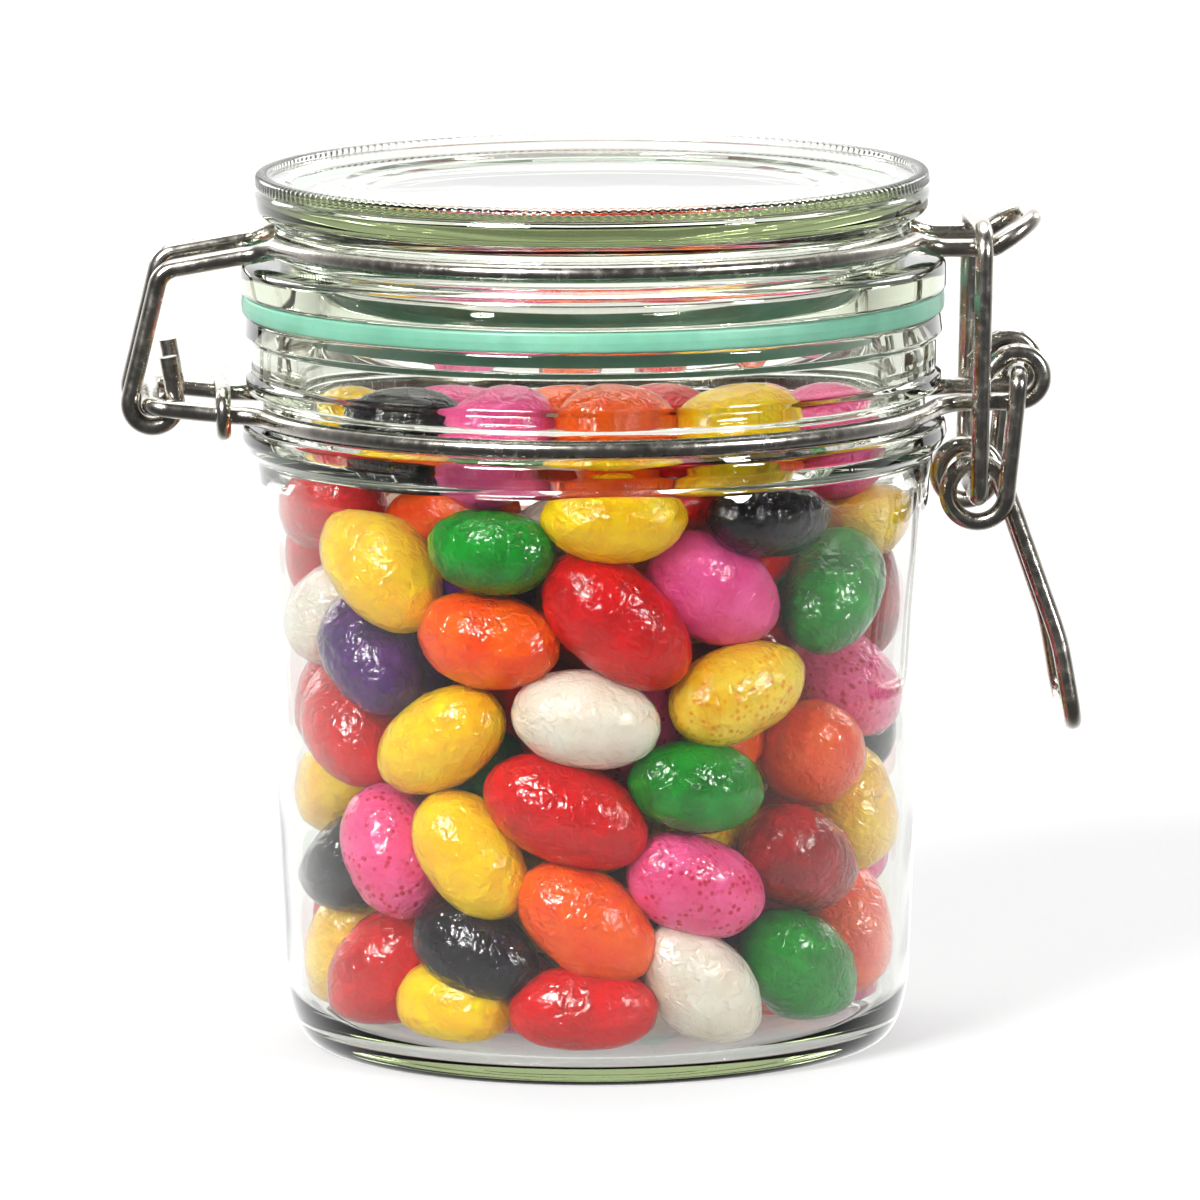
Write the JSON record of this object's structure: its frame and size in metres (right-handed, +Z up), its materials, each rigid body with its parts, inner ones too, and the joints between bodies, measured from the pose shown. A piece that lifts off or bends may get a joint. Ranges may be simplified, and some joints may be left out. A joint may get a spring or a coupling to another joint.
{
  "type": "jar of jelly beans",
  "caption": "Round clip-top glass preserving jar filled with assorted jelly beans, with a glass lid, a rubber gasket and a wire hinge and clamp.",
  "frame": {"origin": "centre of the jar's flat underside, where it rests", "axes": "+Z up along the jar's axis, +X from the lid's hinge towards the clamp, -Y towards the front as shown"},
  "size_m": [0.1322, 0.0976, 0.121],
  "materials": {
    "clear_glass": "clear pressed glass with a slight green tint at its thick edges",
    "mint_rubber": "translucent mint green, soft and matte",
    "steel_wire": "bright drawn steel wire",
    "jelly_beans": "glossy sugar shells in red, orange, yellow, green, pink, white, purple and black"
  },
  "bodies": {
    "jar": {"jar": "clear_glass", "lid": "clear_glass", "gasket": "mint_rubber", "lid_wire": "steel_wire", "neck_wire": "steel_wire", "clip_ring": "steel_wire", "beans": "jelly_beans"},
    "lever": {"lever": "steel_wire"},
    "link": {"link": "steel_wire"}
  },
  "joints": [
    {"name": "lever_pivot", "type": "hinge", "parent": "jar", "child": "lever", "pos_m": [0.0582, 0, 0.093], "axis": [0, -1, 0], "range_deg": [0, 70]},
    {"name": "link_swing", "type": "hinge", "parent": "jar", "child": "link", "pos_m": [0.0533, 0, 0.1134], "axis": [0, -1, 0], "range_deg": [0, 31.7]}
  ],
  "couplings": [
    {"joint": "link_swing", "follows": "lever_pivot", "ratio": 0.452}
  ]
}
